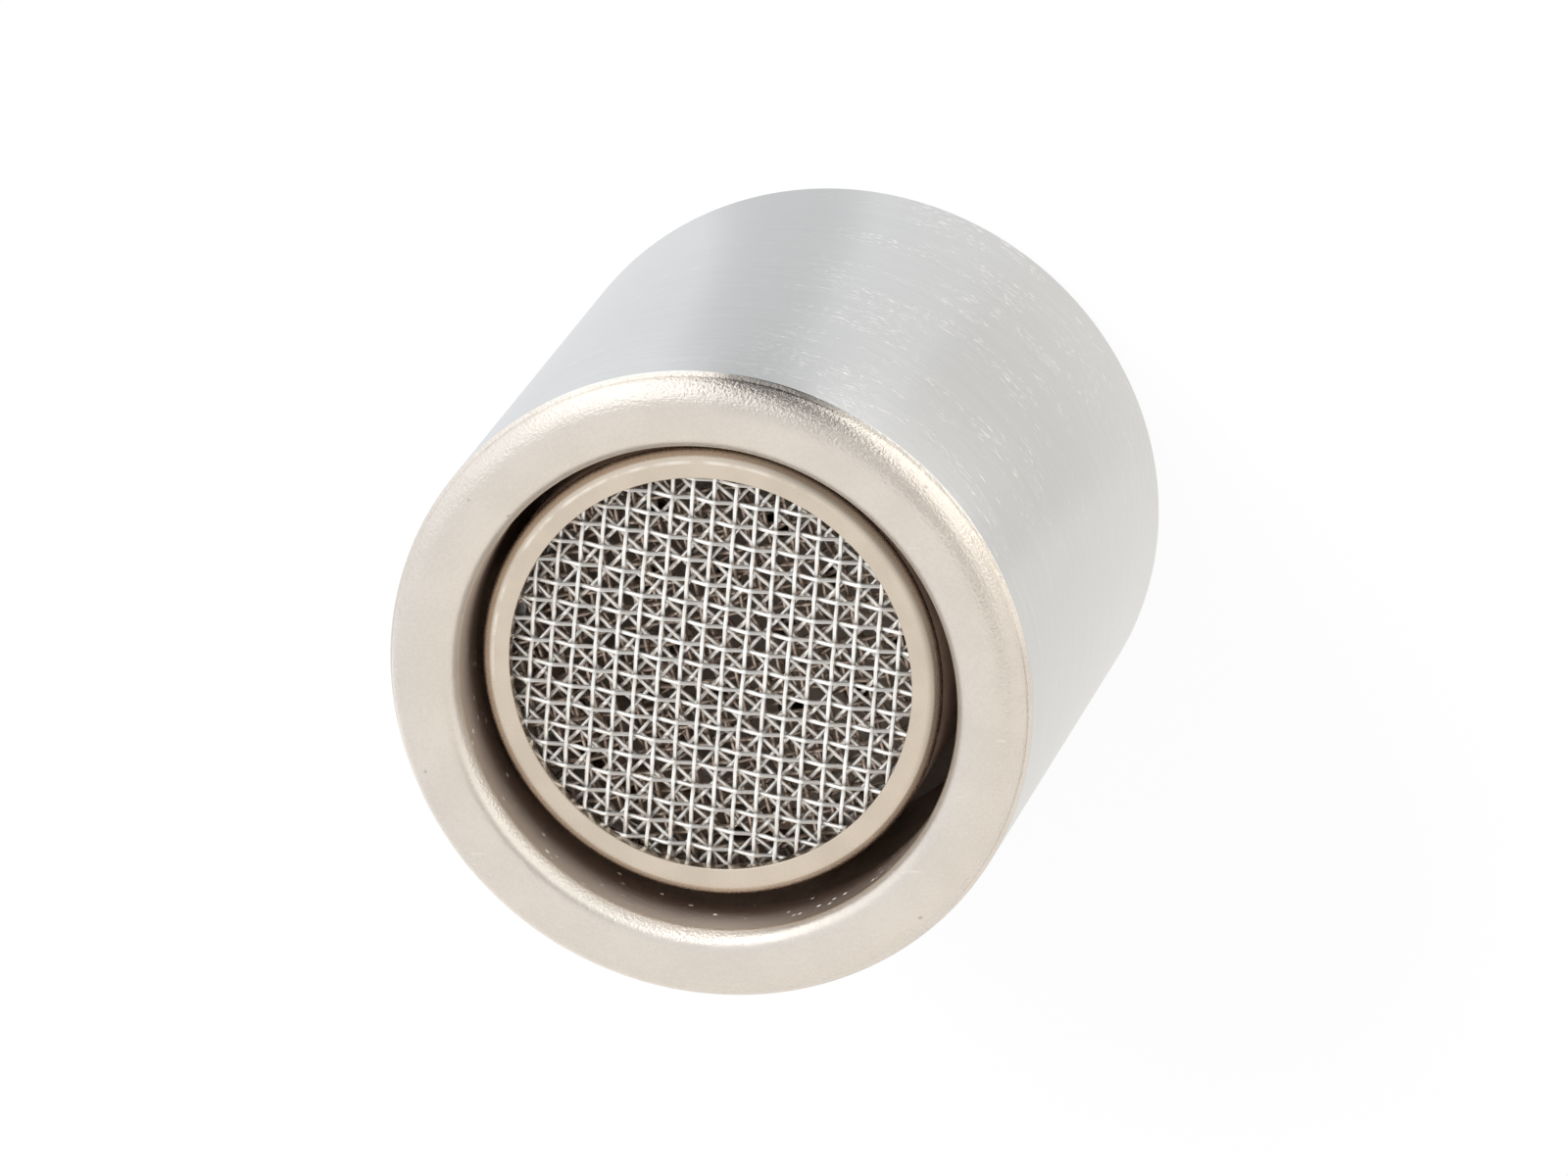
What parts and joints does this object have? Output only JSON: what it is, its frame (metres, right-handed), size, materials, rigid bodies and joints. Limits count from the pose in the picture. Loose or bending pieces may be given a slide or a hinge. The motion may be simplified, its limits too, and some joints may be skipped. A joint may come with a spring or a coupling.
{
  "type": "tap aerator",
  "caption": "Cylindrical female-thread tap aerator: brushed metal housing with a rounded outlet lip, an air gap around a plated insert, and a stack of woven wire screens over a jet plate.",
  "frame": {"origin": "centre of the inlet rim, in the plane that the aerator stands on", "axes": "+Z along the housing's axis towards the outlet"},
  "size_m": [0.024, 0.024, 0.0237],
  "materials": {
    "brushed_body": "brushed nickel plate, satin at the outlet lip",
    "plated_sleeve": "warm nickel plate",
    "steel_wire": "bright drawn wire",
    "spring_ring": "plain spring steel",
    "moulded_insert": "moulded grey-brown",
    "washer_rubber": "matt black"
  },
  "bodies": {
    "root": {"housing": "brushed_body", "screen_sleeve": "plated_sleeve", "outlet_screen": "steel_wire", "second_screen": "steel_wire", "third_screen": "steel_wire", "fourth_screen": "steel_wire", "retainer_ring": "spring_ring", "jet_carrier": "moulded_insert", "jet_disc": "moulded_insert", "strainer_dome": "moulded_insert", "seal_washer": "washer_rubber"}
  },
  "joints": []
}
